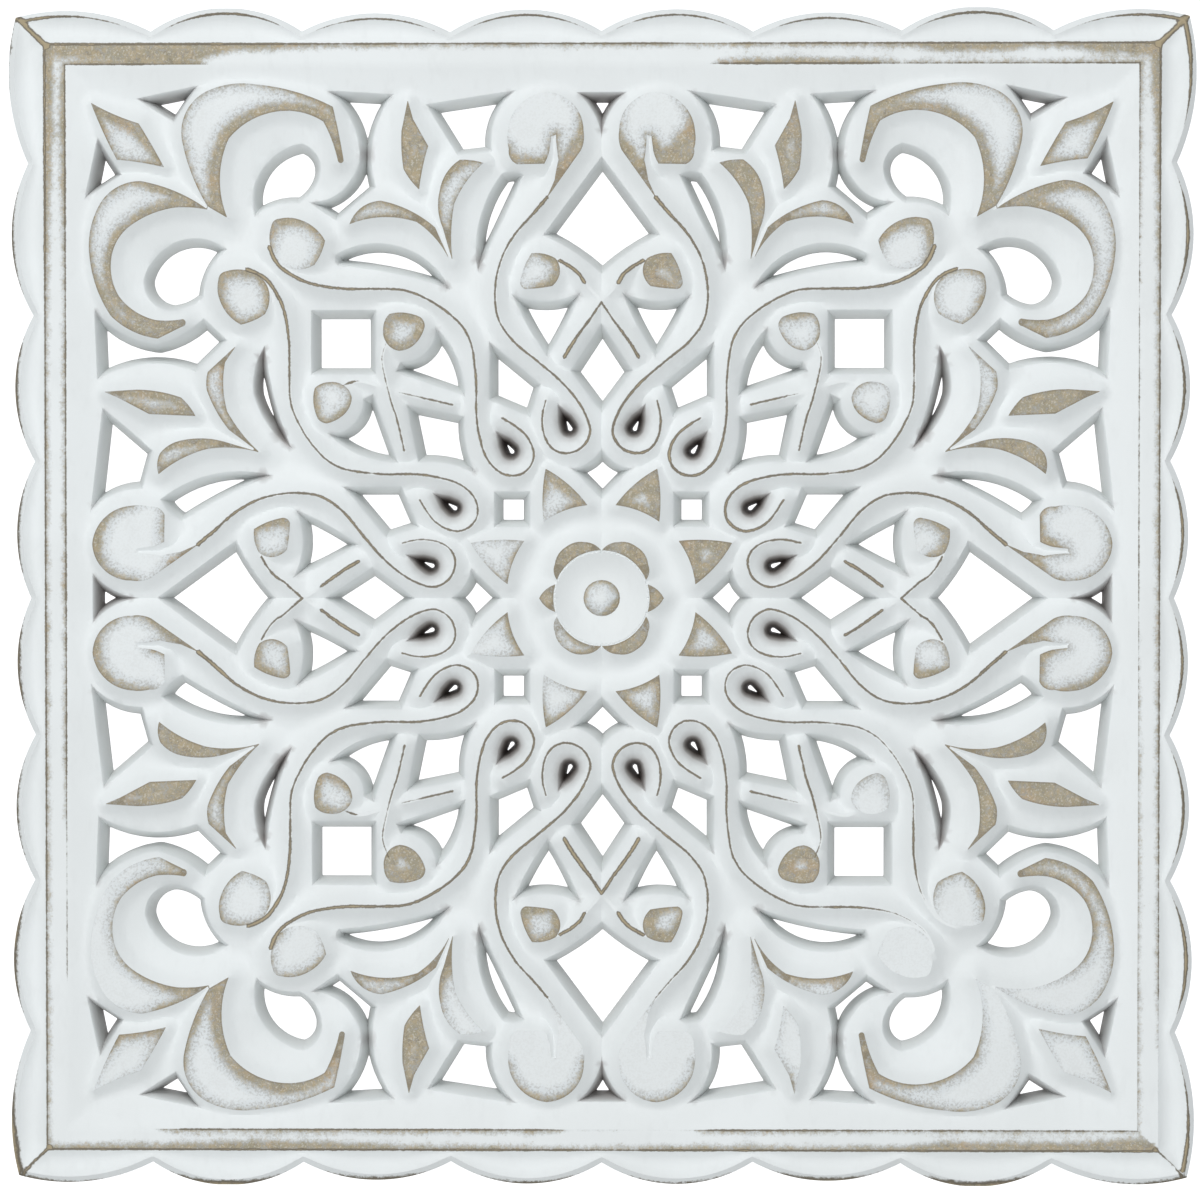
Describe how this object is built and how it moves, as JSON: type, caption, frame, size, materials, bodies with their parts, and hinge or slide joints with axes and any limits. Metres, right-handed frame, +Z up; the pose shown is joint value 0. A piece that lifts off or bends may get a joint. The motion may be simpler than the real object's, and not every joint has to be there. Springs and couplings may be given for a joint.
{
  "type": "carved wall panel",
  "caption": "Square openwork wall panel with a carved mandala of scrolls and leaves inside a flat frame with a scalloped edge, whitewashed with worn wood showing.",
  "frame": {"origin": "centre of the flat back, on the back plane, behind the middle of the centre flower", "axes": "+X to the right as seen from the front, +Y out of the back into the wall, +Z up; the carved front faces -Y"},
  "size_m": [0.4, 0.015, 0.3974],
  "materials": {
    "whitewashed_wood": "matt whitewash, sanded through to tan wood along the rim, the flats and the crest lines"
  },
  "bodies": {
    "root": {"carved_panel": "whitewashed_wood"}
  },
  "joints": []
}
